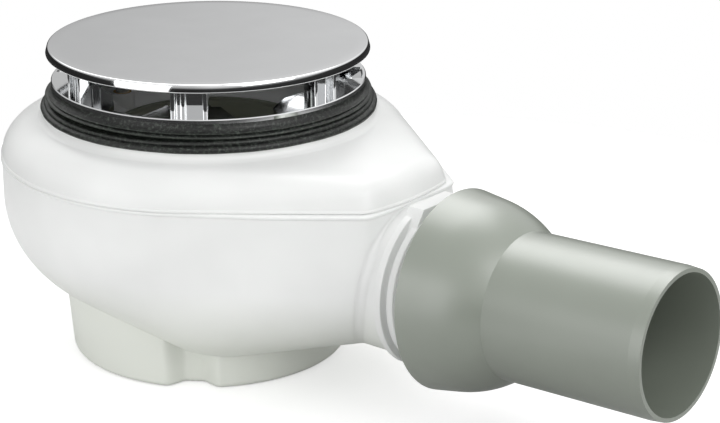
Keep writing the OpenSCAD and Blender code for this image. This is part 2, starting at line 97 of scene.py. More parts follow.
class TrapBowl(PropertyGroup):
    """Sizes of the two shells."""

    around: IntProperty(name="Points Around", description="Points round each shell",
                        default=384, min=96, max=720)
    seam_radius: length("Seam Radius", "Radius of the bowl at the welded seam", 0.0736)
    seam_back: length("Seam Offset", "Distance of the seam's centre away from the outlet", 0.0014)
    seam_height: length("Seam Height", "Height of the welded seam", 0.0739)
    neck_height: length("Neck Height", "Height of the seat under the lower tray seal", 0.0909)
    neck_radius: length("Neck Radius", "Outside radius of the neck", 0.0592)
    dome_radius: length("Dome Radius", "Radius where the dome meets the neck", 0.0589)
    dome_rise: length("Dome Rise", "Height of the dome over the seam", 0.0136)
    turn_height: length("Turn Height", "Height where the underside starts to turn in", 0.0596)
    round_radius: length("Underside Width", "Width of the rounding of the bowl's underside", 0.050)
    round_drop: length("Underside Depth", "Depth of the underside's rounding", 0.0422)
    heel_x: length("Heel Distance", "Distance of the heels along the outlet", 0.0268)
    heel_y: length("Heel Offset", "Distance of each heel to its side", 0.021)
    heel_height: length("Heel Height", "Height of the heels' middle", 0.0438)
    heel_radius: length("Heel Radius", "Radius of a heel in the plan", 0.040)
    heel_drop: length("Heel Depth", "Depth of a heel below its middle", 0.034)
    wall: length("Wall", "Wall thickness of both shells", 0.0025)
    arm_reach: length("Arm Reach", "Distance of the outlet side's bowed end", 0.0927)
    arm_corner: length("Arm Corner", "Corner radius of the outlet side", 0.009)
    arm_half_turn: FloatProperty(name="Arm Half Angle", description="Angle from the outlet to a corner",
                                 default=math.radians(11.4), subtype="ANGLE")
    outlet_height: length("Outlet Height", "Height of the outlet's centre line", 0.0464)
    root_high: length("Upper Neck Root", "Distance of the outlet neck's root at its top", 0.0927)
    root_low: length("Lower Neck Root", "Distance of the outlet neck's root at its bottom", 0.0774)
    neck_fillet: length("Neck Fillet", "Radius of the round between bowl and outlet neck", 0.006)
    outlet_radius: length("Outlet Radius", "Outside radius of the outlet neck", 0.0268)
    outlet_bore: length("Outlet Bore", "Inside radius of the outlet neck", 0.0243)
    outlet_end: length("Outlet End", "Distance of the outlet neck's end", 0.0982)
    bead_out: length("Bead Depth", "How far the seam's bead stands proud", 0.0004)
    bead_half: length("Bead Half Height", "Half the height of the seam's bead", 0.0013)


class TrapCup(PropertyGroup):
    """Sizes of the fluted cup under the bowl."""

    around: IntProperty(name="Points Around", description="Points round the cup",
                        default=480, min=96, max=720)
    radius: length("Radius", "Radius of the cup at the bowl", 0.0518)
    draft: length("Draft", "How much narrower the cup is at its base", 0.0014)
    back: length("Offset", "Distance of the cup's centre away from the outlet", 0.002)
    rounding: length("Rounding", "Radius of the cup's lower edge", 0.0024)
    rise: length("Rise", "Height of the cup up to the bowl", 0.019)
    weir: length("Weir", "Height of the overflow edge inside", 0.060)
    weir_draft: length("Weir Draft", "How much narrower the weir is at its top", 0.0024)
    wall: length("Wall", "Wall thickness", 0.0023)
    floor: length("Floor", "Thickness of the floor", 0.0026)
    flute: length("Flute Depth", "Depth of the three flutes", 0.0056)
    flute_half: FloatProperty(name="Flute Half Angle", description="Angle from a flute's middle to its edge",
                              default=math.radians(11.5), subtype="ANGLE")
    flute_ramp: FloatProperty(name="Flute Ramp", description="Width of a flute's rounded side, as an angle",
                              default=math.radians(8), subtype="ANGLE")
    flute_turn: FloatProperty(name="Flute Turn", description="Angle of the first flute",
                              default=math.radians(-55), subtype="ANGLE")


class TrapSpigot(PropertyGroup):
    """Sizes of the grooved ball spigot, along and round the outlet's axis."""

    around: IntProperty(name="Points Around", description="Points round the spigot",
                        default=480, min=96, max=720)
    start: length("Start", "Distance of the lip's back from the centre line", 0.0983)
    lip_radius: length("Lip Radius", "Outside radius of the lip", 0.0289)
    lip: length("Lip", "Thickness of the lip", 0.0027)
    groove_radius: length("Groove Radius", "Radius at the bottom of the groove", 0.0257)
    band_radius: length("Band Radius", "Outside radius of the band", 0.0273)
    band_start: length("Band Start", "Distance of the band's back from the centre line", 0.1023)
    band_end: length("Band End", "Distance of the band's front from the centre line", 0.1050)
    key_end: length("Key End", "Distance of the key's front from the centre line", 0.10445)
    sleeve_radius: length("Sleeve Radius", "Outside radius of the sleeve in the outlet neck", 0.0242)
    sleeve: length("Sleeve", "Length of the sleeve", 0.012)
    bore: length("Bore", "Inside radius", 0.0214)
    ball_radius: length("Ball Radius", "Radius of the ball", 0.0275)
    ball_place: length("Ball Place", "Distance of the ball's middle from the centre line", 0.1185)
    ball_front: length("Ball Front", "How far the ball reaches past its middle", 0.010)
    key_height: length("Key Height", "Height of the key over the outlet's axis", 0.0291)
    key_half_width: length("Key Half Width", "Half the key's width at its top", 0.0099)
    key_slope: FloatProperty(name="Key Slope", description="Angle of the key's sides from level",
                             default=math.radians(55.6), subtype="ANGLE")


class TrapCover(PropertyGroup):
    """Sizes of the cover and its legs."""

    around: IntProperty(name="Points Around", description="Points round the cover",
                        default=360, min=96, max=720)
    radius: length("Radius", "Largest radius of the cover", 0.0575)
    top: length("Top", "Height of the cover's face", 0.1135)
    thickness: length("Thickness", "Thickness of the plate", 0.0018)
    edge_depth: length("Edge Depth", "Height of the turned-down edge", 0.0029)
    edge_thickness: length("Edge Thickness", "Thickness of the turned-down edge", 0.0016)
    draft: length("Draft", "How much narrower the cover is at its face", 0.0005)
    rounding: length("Rounding", "Radius of the edge at the cover's face", 0.0007)
    leg_place: length("Leg Place", "Radius where the legs' webs stand", 0.0458)
    leg_width: length("Leg Width", "Width of a leg", 0.0126)
    leg_depth: length("Leg Depth", "Depth of a leg's side walls", 0.005)
    leg_wall: length("Leg Wall", "Wall thickness of a leg", 0.0016)
    leg_turn: FloatProperty(name="Leg Turn", description="Angle of the first leg",
                            default=math.radians(5), subtype="ANGLE")


class TrapSeals(PropertyGroup):
    """Sizes of the two tray seals."""

    around: IntProperty(name="Points Around", description="Points round each seal",
                        default=480, min=96, max=720)
    gap: FloatProperty(name="Gap", description="Opening angle between the two seals",
                       default=math.radians(1.3), subtype="ANGLE")
    gap_turn: FloatProperty(name="Gap Turn", description="Direction in which the gap is open",
                            default=math.radians(-130), subtype="ANGLE")
    split_height: length("Split Height", "Height where the two seals meet", 0.0945)
    flange_top: length("Flange Top", "Height of the flange over the seals", 0.1011)
    ripple: length("Ripple", "How far the rubber bulges where it is pressed", 0.00018)


class TrapStage(PropertyGroup):
    """Camera and light."""

    lens: FloatProperty(name="Lens", description="Focal length of the camera in millimetres",
                        default=112.75, min=20, max=300)
    azimuth: FloatProperty(name="Azimuth", description="Angle of the camera round the trap",
                           default=math.radians(39), subtype="ANGLE")
    elevation: FloatProperty(name="Elevation", description="Angle of the camera over the floor",
                             default=math.radians(19.55), subtype="ANGLE")
    eye: FloatVectorProperty(name="Camera Place", description="Where the camera stands",
                             default=(0.52908, -0.56782, 0.32387), size=3,
                             subtype="TRANSLATION", unit="LENGTH")
    world: FloatProperty(name="World", description="Strength of the light from all sides",
                         default=0.65, min=0, max=2)
    front: FloatProperty(name="Front Lamp", description="Power of the lamp in front, on the right",
                         default=4.3, min=0, max=200, subtype="POWER")
    low: FloatProperty(name="Low Lamp", description="Power of the low lamp on the left",
                       default=3.0, min=0, max=200, subtype="POWER")
    back: FloatProperty(name="Back Lamp", description="Power of the high lamp behind the trap",
                        default=3.9, min=0, max=200, subtype="POWER")


# Meshes


def lathe_ring(radius, height, around, turn=0.0):
    """Points of a level circle round the centre line."""
    return [Vector((radius * math.cos(turn + TURN * i / around),
                    radius * math.sin(turn + TURN * i / around), height)) for i in range(around)]


def skin(bm, rings, close=False, caps=False):
    """Faces between rings of equal length; returns the rings' vertices."""
    rows = [[bm.verts.new(p) for p in ring] for ring in rings]
    pairs = list(zip(rows, rows[1:]))
    if close:
        pairs.append((rows[-1], rows[0]))
    for low, high in pairs:
        for i in range(len(low)):
            j = (i + 1) % len(low)
            bm.faces.new((low[i], low[j], high[j], high[i]))
    if caps:
        bm.faces.new(list(reversed(rows[0])))
        bm.faces.new(rows[-1])
    return rows


def along_outlet(ring, height):
    """The same points, turned from the Z axis to lie round the outlet's axis."""
    return [Vector((p.z, p.x, height + p.y)) for p in ring]


def finish_mesh(name, bm, body, smooth_angle=40):
    """A mesh object from bm, shaded smooth up to an angle, riding on its body."""
    bmesh.ops.recalc_face_normals(bm, faces=bm.faces)
    limit = math.radians(smooth_angle)
    for face in bm.faces:
        face.smooth = True
    for edge in bm.edges:
        edge.smooth = len(edge.link_faces) == 2 and edge.calc_face_angle(0) < limit
    mesh = bpy.data.meshes.new(name)
    bm.to_mesh(mesh)
    bm.free()
    piece = bpy.data.objects.new(name, mesh)
    bpy.context.scene.collection.objects.link(piece)
    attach(piece, body)
    return piece


def convex_tree(points):
    """A search tree over the convex skin round the points."""
    bm = bmesh.new()
    for p in points:
        bm.verts.new(p)
    bmesh.ops.convex_hull(bm, input=bm.verts)
    bmesh.ops.triangulate(bm, faces=bm.faces)
    tree = BVHTree.FromBMesh(bm)
    bm.free()
    return tree


def arc_points(centre, height, radius_out, radius_up, start, end, count):
    """(radius, height) pairs on an arc, angles in radians."""
    return [(centre + radius_out * math.cos(start + (end - start) * i / count),
             height + radius_up * math.sin(start + (end - start) * i / count))
            for i in range(count + 1)]


def arm_end(bowl, height, inset=0.0, round_end=False):
    """Points of the outlet side's bowed end and its rounded corners at a height."""
    points = []
    corner = bowl.arm_corner - inset
    lifts = [math.pi / 2 * k / 12 for k in range(13)] if round_end else [0]
    for k in range(-6, 7):
        turn = bowl.arm_half_turn * k / 6
        reach = bowl.arm_reach - bowl.arm_corner
        centre = Vector((reach * math.cos(turn), reach * math.sin(turn), height))
        for lift in lifts:
            ring = lathe_ring(corner * math.cos(lift), corner * math.sin(lift), 48)
            points += [centre + p for p in ring]
    return points


def shifted(ring, back):
    """The same points, moved away from the outlet."""
    return [Vector((p.x - back, p.y, p.z)) for p in ring]


def neck_root(bowl, inset=0.0):
    """The line on the outlet neck where the bowl's skin meets it."""
    radius, points = bowl.outlet_radius - inset, []
    for i in range(300):
        t = TURN * i / 300
        fall = ((1 - math.sin(t)) / 2) ** 4
        x = bowl.root_high + (bowl.root_low - bowl.root_high) * fall - inset
        points.append(Vector((x, radius * math.cos(t), bowl.outlet_height + radius * math.sin(t))))
    return points


def bowl_skin(bowl, inset=0.0):
    """The lower shell's convex skin, drawn in by an inset and carried up past the seam."""
    middle = bowl.seam_radius - bowl.round_radius
    points = [p for r, h in arc_points(middle, bowl.turn_height, bowl.round_radius - inset,
                                       bowl.round_drop - inset, -math.pi / 2, 0, 40)
              for p in shifted(lathe_ring(r, h, 300), bowl.seam_back)]
    for side in (-1, 1):
        heel = Vector((bowl.heel_x, side * bowl.heel_y, 0))
        points += [heel + p for r, h in arc_points(0, bowl.heel_height, bowl.heel_radius - inset,
                                                   bowl.heel_drop - inset, -math.pi / 2, 0, 30)
                   for p in lathe_ring(r, h, 200)]
    points += neck_root(bowl, inset)
    above = bowl.seam_height + 0.02
    points += shifted(lathe_ring(bowl.seam_radius - inset, above, 300), bowl.seam_back)
    points += arm_end(bowl, bowl.seam_height - 0.008, inset) + arm_end(bowl, above, inset)
    return convex_tree(points)


def plan_angles(bowl, tree):
    """Angles evenly spaced along the shells' outline at the seam."""
    coarse = 1440
    angles = [-math.pi + TURN * i / coarse for i in range(coarse + 1)]
    centre = Vector((0, 0, bowl.seam_height))
    outline = [cast(tree, centre, Vector((math.cos(a), math.sin(a), 0)))[0] for a in angles]
    walked = [0.0]
    for p, q in zip(outline, outline[1:]):
        walked.append(walked[-1] + (q - p).length)
    even, k = [], 0
    for i in range(bowl.around):
        want = walked[-1] * i / bowl.around
        while walked[k + 1] < want:
            k += 1
        t = (want - walked[k]) / (walked[k + 1] - walked[k])
        even.append(angles[k] + t * (angles[k + 1] - angles[k]))
    return even


def cast(tree, start, way):
    """Where a ray from inside meets the skin, and the skin's outward normal there."""
    place, normal, _, _ = tree.ray_cast(start, way)
    if place is None:
        raise RuntimeError("a ray from inside a shell met no wall")
    return place, (normal if normal.dot(way) > 0 else -normal)


def soften(rings, times):
    """Evens out rings of points a little, the first and last ring kept."""
    n = len(rings[0])
    for _ in range(times):
        old = [[p.copy() for p in ring] for ring in rings]
        for k in range(1, len(rings) - 1):
            for i in range(n):
                mean = (old[k - 1][i] + old[k + 1][i] + old[k][i - 1] + old[k][(i + 1) % n]) / 4
                rings[k][i] = old[k][i].lerp(mean, 0.5)


def pushed(ring, height, out):
    """A copy of a ring at another height, moved outward in the plan."""
    n = len(ring)
    moved = []
    for i in range(n):
        along = ring[(i + 1) % n] - ring[i - 1]
        away = Vector((along.y, -along.x, 0)).normalized()
        moved.append(Vector((ring[i].x, ring[i].y, height)) + away * out)
    return moved


def cut_round(bm, x_from, height, radius):
    """Opens the wall round the outlet's axis and draws the edge to a circle."""
    inside = [f for f in bm.faces if f.calc_center_median().x > x_from
              and math.hypot(f.calc_center_median().y, f.calc_center_median().z - height) < radius]
    bmesh.ops.delete(bm, geom=inside, context="FACES")
    for edge in [e for e in bm.edges if e.is_boundary]:
        for vert in edge.verts:
            off = Vector((0, vert.co.y, vert.co.z - height))
            if vert.co.x > x_from and off.length > 0:
                off *= radius / off.length
                vert.co.y, vert.co.z = off.y, height + off.z


# Finishes


def shader(name, colour, roughness, metallic=0.0):
    """A new material; returns it with its tree, its shader and its place coordinates."""
    material = bpy.data.materials.new(name)
    material.use_nodes = True
    tree = material.node_tree
    surface = tree.nodes["Principled BSDF"]
    surface.inputs["Base Color"].default_value = (*colour, 1)
    surface.inputs["Roughness"].default_value = roughness
    surface.inputs["Metallic"].default_value = metallic
    place = tree.nodes.new("ShaderNodeTexCoord").outputs["Object"]
    return material, tree, surface, place


def noise(tree, place, scale, detail=3.0, rough=0.5):
    """A noise texture's value over the object's own place."""
    node = tree.nodes.new("ShaderNodeTexNoise")
    node.inputs["Scale"].default_value = scale
    node.inputs["Detail"].default_value = detail
    node.inputs["Roughness"].default_value = rough
    tree.links.new(place, node.inputs["Vector"])
    return node.outputs["Fac"]


def spread(tree, value, low, high):
    """A value from 0 to 1 mapped between two numbers."""
    node = tree.nodes.new("ShaderNodeMapRange")
    node.inputs["To Min"].default_value = low
    node.inputs["To Max"].default_value = high
    tree.links.new(value, node.inputs["Value"])
    return node.outputs["Result"]


def blend_colour(tree, value, dark, light, low=0.35, high=0.65):
    """A colour between two, following a value."""
    ramp = tree.nodes.new("ShaderNodeValToRGB")
    ramp.color_ramp.elements[0].position = low
    ramp.color_ramp.elements[0].color = (*dark, 1)
    ramp.color_ramp.elements[1].position = high
    ramp.color_ramp.elements[1].color = (*light, 1)
    tree.links.new(value, ramp.inputs["Fac"])
    return ramp.outputs["Color"]


def relief(tree, surface, value, strength, depth, before=None):
    """Bump from a value, on top of an earlier one."""
    bump = tree.nodes.new("ShaderNodeBump")
    bump.inputs["Strength"].default_value = strength
    bump.inputs["Distance"].default_value = depth
    tree.links.new(value, bump.inputs["Height"])
    if before is not None:
        tree.links.new(before, bump.inputs["Normal"])
    tree.links.new(bump.outputs["Normal"], surface.inputs["Normal"])
    return bump.outputs["Normal"]


def shade(colour, factor):
    """A colour made darker or lighter."""
    return tuple(min(1.0, c * factor) for c in colour)


def moulded_plastic(name, colour, roughness, grain, depth, waxy=0.0, coat=0.0, low=None):
    """Injection-moulded plastic: faint flow clouds, fine grain, uneven gloss, and painted shade lower down when a
    low colour is given.
    """
    material, tree, surface, place = shader(name, colour, roughness)
    clouds = noise(tree, place, 28, 2.0)
    tree.links.new(blend_colour(tree, clouds, shade(colour, 0.965), shade(colour, 1.02)),
                   surface.inputs["Base Color"])
    tree.links.new(spread(tree, noise(tree, place, 160, 4.0), roughness - 0.06, roughness + 0.06),
                   surface.inputs["Roughness"])
    first = relief(tree, surface, clouds, 0.12, 0.0004)
    relief(tree, surface, noise(tree, place, grain, 2.0), 0.25, depth, first)
    # Painted shade: the base colour blends to the low colour, darker and greener towards the cup, from 46 mm down
    # to 22 mm height.
    if low is not None:
        heights = tree.nodes.new("ShaderNodeSeparateXYZ")
        tree.links.new(place, heights.inputs["Vector"])
        lower = tree.nodes.new("ShaderNodeMapRange")
        lower.inputs["From Min"].default_value, lower.inputs["From Max"].default_value = 0.046, 0.022
        tree.links.new(heights.outputs["Z"], lower.inputs["Value"])
        painted_shade = tree.nodes.new("ShaderNodeMix")
        painted_shade.data_type = "RGBA"
        tree.links.new(lower.outputs["Result"], painted_shade.inputs["Factor"])
        tree.links.new(surface.inputs["Base Color"].links[0].from_socket, painted_shade.inputs["A"])
        painted_shade.inputs["B"].default_value = (*low, 1)
        tree.links.new(painted_shade.outputs["Result"], surface.inputs["Base Color"])
    surface.inputs["IOR"].default_value = 1.49
    surface.inputs["Coat Weight"].default_value = coat
    surface.inputs["Coat Roughness"].default_value = 0.35
    surface.inputs["Coat IOR"].default_value = 1.75
    if waxy:
        surface.inputs["Subsurface Weight"].default_value = waxy
        surface.inputs["Subsurface Radius"].default_value = (0.9, 1.0, 0.95)
        surface.inputs["Subsurface Scale"].default_value = 0.003
    return material


def bright_chrome(name, colour):
    """Mirror plating: barely uneven, with faint wiping marks."""
    material, tree, surface, place = shader(name, colour, 0.06, 1.0)
    stretch = tree.nodes.new("ShaderNodeMapping")
    stretch.inputs["Scale"].default_value = (220, 18, 60)
    stretch.inputs["Rotation"].default_value = (0, 0, math.radians(35))
    tree.links.new(place, stretch.inputs["Vector"])
    wiped = noise(tree, stretch.outputs["Vector"], 1.0, 5.0, 0.6)
    tree.links.new(spread(tree, wiped, 0.03, 0.10), surface.inputs["Roughness"])
    tree.links.new(blend_colour(tree, noise(tree, place, 40), shade(colour, 0.975), shade(colour, 1.01)),
                   surface.inputs["Base Color"])
    relief(tree, surface, noise(tree, place, 70, 1.0), 0.05, 0.00008)
    return material


def seal_rubber(name, colour):
    """Black rubber with level moulding streaks, mould dust, an uneven sheen and painted highlights on its sharp
    edges.
    """
    material, tree, surface, place = shader(name, colour, 0.36)
    flat = tree.nodes.new("ShaderNodeMapping")
    flat.inputs["Scale"].default_value = (55, 55, 900)
    tree.links.new(place, flat.inputs["Vector"])
    streaks = noise(tree, flat.outputs["Vector"], 1.0, 5.0, 0.65)
    dust = noise(tree, place, 900, 4.0, 0.75)
    # Painted highlights: a lighter colour is added on sharp edges, found by pointiness, in place of glints on the
    # ridges; the dust mottling is the rubber's own tone.
    edges = tree.nodes.new("ShaderNodeNewGeometry").outputs["Pointiness"]
    dust_and_painted_glints = tree.nodes.new("ShaderNodeMix")
    dust_and_painted_glints.data_type = "RGBA"
    dust_and_painted_glints.blend_type = "ADD"
    dust_and_painted_glints.inputs["Factor"].default_value = 1.0
    tree.links.new(blend_colour(tree, dust, shade(colour, 0.4), shade(colour, 13.0), 0.50, 0.76), dust_and_painted_glints.inputs["A"])
    tree.links.new(blend_colour(tree, edges, (0, 0, 0), shade(colour, 6.0), 0.53, 0.60), dust_and_painted_glints.inputs["B"])
    tree.links.new(dust_and_painted_glints.outputs["Result"], surface.inputs["Base Color"])
    tree.links.new(spread(tree, streaks, 0.20, 0.58), surface.inputs["Roughness"])
    first = relief(tree, surface, streaks, 0.55, 0.0005)
    relief(tree, surface, dust, 0.45, 0.00030, first)
    return material


def turned_metal(name, colour, roughness):
    """Lathe-turned metal with fine level rings."""
    material, tree, surface, place = shader(name, colour, roughness, 1.0)
    rings = tree.nodes.new("ShaderNodeTexWave")
    rings.bands_direction = "Z"
    rings.inputs["Scale"].default_value = 900
    rings.inputs["Distortion"].default_value = 2.0
    tree.links.new(place, rings.inputs["Vector"])
    tree.links.new(spread(tree, noise(tree, place, 300), roughness - 0.08, roughness + 0.12),
                   surface.inputs["Roughness"])
    tree.links.new(blend_colour(tree, rings.outputs["Fac"], shade(colour, 0.86), colour, 0.2, 0.8),
                   surface.inputs["Base Color"])
    relief(tree, surface, rings.outputs["Fac"], 0.2, 0.00005)
    return material


def dress(node, material):
    """Gives a CAD node its finish."""
    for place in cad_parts[node].material_slots:
        place.material = material


# Pieces


class TRAP_OT_upper_shell(Operator):
    """Builds the white upper shell: dome, neck, seat, funnel, sleeve and bosses"""

    bl_idname = "trap.upper_shell"
    bl_label = "Upper Shell"

    def execute(self, context):
        bowl = context.scene.trap_bowl
        seam = bowl.seam_height
        rise_out = bowl.seam_radius - bowl.dome_radius
        dome = [p for r, h in arc_points(bowl.dome_radius, seam, rise_out, bowl.dome_rise,
                                         0, math.radians(80), 32)
                for p in shifted(lathe_ring(r, h, 360), bowl.seam_back * (r - bowl.dome_radius) / rise_out)]
        low = shifted(lathe_ring(bowl.seam_radius, seam - 0.01, 360), bowl.seam_back)
        tree = convex_tree(dome + low + arm_end(bowl, seam - 0.01)
                           + arm_end(bowl, seam + 0.001, round_end=True))
        angles = plan_angles(bowl, tree)
        outer, inner = [], []
        bead_top = seam + bowl.bead_half
        heights = [bead_top, bead_top + 0.0009]
        steps = 40
        for k in range(len(heights) + steps):
            ring, back = [], []
            for a in angles:
                flat = Vector((math.cos(a), math.sin(a), 0))
                if k < len(heights):
                    start, way = Vector((0, 0, heights[k])), flat
                else:
                    lift = math.radians(80.5) * (k - len(heights) + 6) / (steps + 5)
                    start = flat * bowl.dome_radius + Vector((0, 0, seam))
                    way = flat * math.cos(lift) + Vector((0, 0, math.sin(lift)))
                place, normal = cast(tree, start, way)
                ring.append(place)
                back.append(place - normal * bowl.wall)
            outer.append(ring)
            inner.append(back)
        soften(outer, 2)
        soften(inner, 2)
        neck = bowl.neck_radius

        def level(r, h):
            return [Vector((r * math.cos(a), r * math.sin(a), h)) for a in angles]

        foot = outer[-1]
        fillet = arc_points(neck + 0.0021, bowl.neck_height - 0.0012, 0.0021, 0.0021,
                            math.radians(245), math.pi, 8)
        climb = [level(r, h) for r, h in fillet]
        top = bowl.neck_height
        inside = [(neck, top - 0.0003), (neck - 0.0003, top), (0.0459, top), (0.0456, top - 0.0003),
                  (0.0456, top - 0.0026), (0.0453, top - 0.0031),
                  (0.0367, 0.0822), (0.0364, 0.0819), (0.0364, 0.0804), (0.0348, 0.0804),
                  (0.0348, 0.066), (0.0372, 0.066), (0.0372, 0.079), (0.048, 0.0869),
                  (0.0496, 0.0879), (0.0559, 0.0879), (0.0567, 0.0871), (0.0567, 0.0850)]
        first = outer[0]
        bead = [pushed(first, seam, -bowl.wall), pushed(first, seam, bowl.bead_out - 0.00035),
                pushed(first, seam + 0.00018, bowl.bead_out - 0.0001),
                pushed(first, seam + 0.0004, bowl.bead_out),
                pushed(first, bead_top - 0.0004, bowl.bead_out),
                pushed(first, bead_top - 0.0001, bowl.bead_out - 0.00025)]
        bm = bmesh.new()
        skin(bm, bead + outer + climb + [level(r, h) for r, h in inside] + inner[::-1][1:], close=True)
        for k in range(3):
            a = context.scene.trap_cup.flute_turn + TURN * k / 3
            centre = Vector((0.0405 * math.cos(a), 0.0405 * math.sin(a), 0))
            profile = [(0.0028, 0.0749), (0.0040, 0.0749), (0.0043, 0.0752), (0.0043, 0.0876),
                       (0.0040, 0.0879), (0.0034, 0.0879), (0.0034, 0.0789), (0.0028, 0.0789)]
            skin(bm, [[centre + p for p in lathe_ring(r, h, 40)] for r, h in profile], close=True)
        piece = finish_mesh("white_upper_shell", bm, "trap")
        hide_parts("upper_shell")
        piece.data.materials.append(white_finish())
        return {"FINISHED"}


class TRAP_OT_lower_shell(Operator):
    """Builds the white lower shell: bowl, outlet neck, fluted cup and weir"""

    bl_idname = "trap.lower_shell"
    bl_label = "Lower Shell"

    def execute(self, context):
        scene = context.scene
        bowl, cup = scene.trap_bowl, scene.trap_cup
        seam = bowl.seam_height
        bead_low = seam - bowl.bead_half
        skin_out = bowl_skin(bowl)
        angles = plan_angles(bowl, skin_out)
        outer = self.wall_rings(skin_out, bowl, cup, angles, bead_low)
        inner = self.wall_rings(bowl_skin(bowl, bowl.wall), bowl, cup, angles, bead_low)
        last = outer[-1]
        bead = [pushed(last, bead_low + 0.0001, bowl.bead_out - 0.00025),
                pushed(last, bead_low + 0.0004, bowl.bead_out),
                pushed(last, seam - 0.0004, bowl.bead_out),
                pushed(last, seam - 0.00018, bowl.bead_out - 0.0001),
                pushed(last, seam, bowl.bead_out - 0.00035),
                pushed(last, seam, -bowl.wall)]
        bm = bmesh.new()
        skin(bm, outer + bead + inner[::-1], close=True)
        outlet, bore, end = bowl.outlet_radius, bowl.outlet_bore, bowl.outlet_end
        cut_round(bm, bowl.root_low - bowl.wall - 0.0012, bowl.outlet_height, bore + 0.0012)
        inside = self.neck_inside(bowl)
        tube = [along_outlet(lathe_ring(r, x, len(inside)), bowl.outlet_height)
                for r, x in ((outlet, end - 0.0004), (outlet - 0.0004, end), (bore, end))]
        skin(bm, [self.on_neck(bowl, inside, outlet)] + tube + [self.on_neck(bowl, inside, bore)], close=True)
        self.neck_round(bm, skin_out, bowl)
        self.cup_rings(bm, cup)
        piece = finish_mesh("white_lower_shell", bm, "trap")
        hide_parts("lower_shell")
        piece.data.materials.append(white_finish())
        return {"FINISHED"}

    def wall_rings(self, tree, bowl, cup, angles, top):
        """Rings on the bowl's skin, from the middle of the cup's wall out and up to a height."""
        hub_radius, hub_height = 0.035, 0.050
        under, upright = 64, 18
        columns = []
        for a in angles:
            flat = Vector((math.cos(a), math.sin(a), 0))
            above = flat * self.cup_reach(cup, cup.radius - cup.wall / 2, a) + Vector((0, 0, hub_height))
            foot = cast(tree, above, Vector((0, 0, -1)))[0]
            hub = flat * hub_radius + Vector((0, 0, hub_height))
            low = math.atan2(foot.z - hub_height, foot.dot(flat) - hub_radius)
            column = [foot]
            for k in range(1, under + 1):
                drop = low * (1 - k / under)
                column.append(cast(tree, hub, flat * math.cos(drop) + Vector((0, 0, math.sin(drop))))[0])
            for k in range(1, upright + 1):
                start = Vector((0, 0, hub_height + (top - hub_height) * k / upright))
                column.append(cast(tree, start, flat)[0])
            columns.append(column)
        rings = [list(ring) for ring in zip(*columns)]
        soften(rings, 3)
        return rings

    def neck_inside(self, bowl):
        """Distances of the neck's inner end, just inside the bowl's wall, round the neck."""
        return [p.x - bowl.wall for p in neck_root(bowl)]

    def on_neck(self, bowl, reach, radius):
        """A ring round the outlet's axis with its own distance at each point."""
        n = len(reach)
        return [Vector((reach[i], radius * math.cos(TURN * i / n),
                        bowl.outlet_height + radius * math.sin(TURN * i / n))) for i in range(n)]

    def neck_round(self, bm, tree, bowl):
        """The fillet that a ball leaves when it rolls between the bowl and the outlet neck."""
        around, steps = 192, 12
        core = Vector((bowl.heel_x, 0, bowl.outlet_height))
        rings = [[] for _ in range(steps + 3)]
        for i in range(around):
            t = TURN * i / around
            ray = Vector((0, math.cos(t), math.sin(t)))
            free = (0.070 - bowl.outlet_height - bowl.outlet_radius * ray.z) / 0.022
            free = min(1.0, max(0.0, free))
            ball = 0.0008 + (bowl.neck_fillet - 0.0008) * free * free * (3 - 2 * free)
            axis = Vector((bowl.root_low + 0.010, 0, bowl.outlet_height))
            step = 0.006
            for _ in range(24):
                centre = axis + ray * (bowl.outlet_radius + ball)
                place, normal, _, gap = tree.find_nearest(centre)
                if normal.dot(place - core) < 0:
                    normal = -normal
                clear = (centre - place).dot(normal) > 0 and gap > ball
                axis.x += -step if clear else step
                step /= 2
            to_bowl = (place - centre).normalized()
            to_neck = -ray
            along_bowl = to_bowl.cross(to_bowl.cross(to_neck)).normalized()
            row = [centre + to_bowl * (ball + 0.0002) + along_bowl * 0.0006]
            for k in range(steps + 1):
                row.append(centre + to_bowl.slerp(to_neck, k / steps) * ball)
            row.append(row[-1] - ray * 0.0002 + Vector((0.0006, 0, 0)))
            for ring, p in zip(rings, row):
                ring.append(p)
        skin(bm, rings)

    def cup_reach(self, cup, radius, a):
        """Distance from the centre line to a fluted ring of the cup, in a direction."""
        reach = radius
        for _ in range(6):
            x, y = reach * math.cos(a) + cup.back, reach * math.sin(a)
            reach += self.fluted(cup, radius, math.atan2(y, x)) - math.hypot(x, y)
        return reach

    @staticmethod
    def fluted(cup, radius, a):
        """Radius at an angle, drawn in at the flutes."""
        step = TURN / 3
        off = abs((a - cup.flute_turn + 10 * TURN + step / 2) % step - step / 2)
        t = min(1.0, max(0.0, (cup.flute_half - off) / cup.flute_ramp))
        return radius - cup.flute * t * t * (3 - 2 * t)

    def cup_rings(self, bm, cup):
        """The fluted cup with its weir, floor and rounded lower edge."""
        base = cup.radius - cup.draft
        outside = [(base - cup.rounding + cup.rounding * math.sin(b), cup.rounding * (1 - math.cos(b)))
                   for b in [math.pi / 2 * k / 8 for k in range(9)]]
        outside += [(base + cup.draft * t, cup.rounding + (cup.rise - cup.rounding) * t)
                    for t in (0.33, 0.66, 1.0)]
        outside += [(cup.radius - cup.weir_draft, cup.weir)]
        inside = [(cup.radius - cup.weir_draft - cup.wall, cup.weir),
                  (cup.radius - cup.wall, cup.rise), (base - cup.wall, cup.floor + 0.001),
                  (base - cup.wall - 0.001, cup.floor)]
        rings = []
        for radius, height in outside + inside:
            ring = []
            for i in range(cup.around):
                a = TURN * i / cup.around
                r = self.fluted(cup, radius, a)
                ring.append(Vector((r * math.cos(a) - cup.back, r * math.sin(a), height)))
            rings.append(ring)
        skin(bm, rings, caps=True)


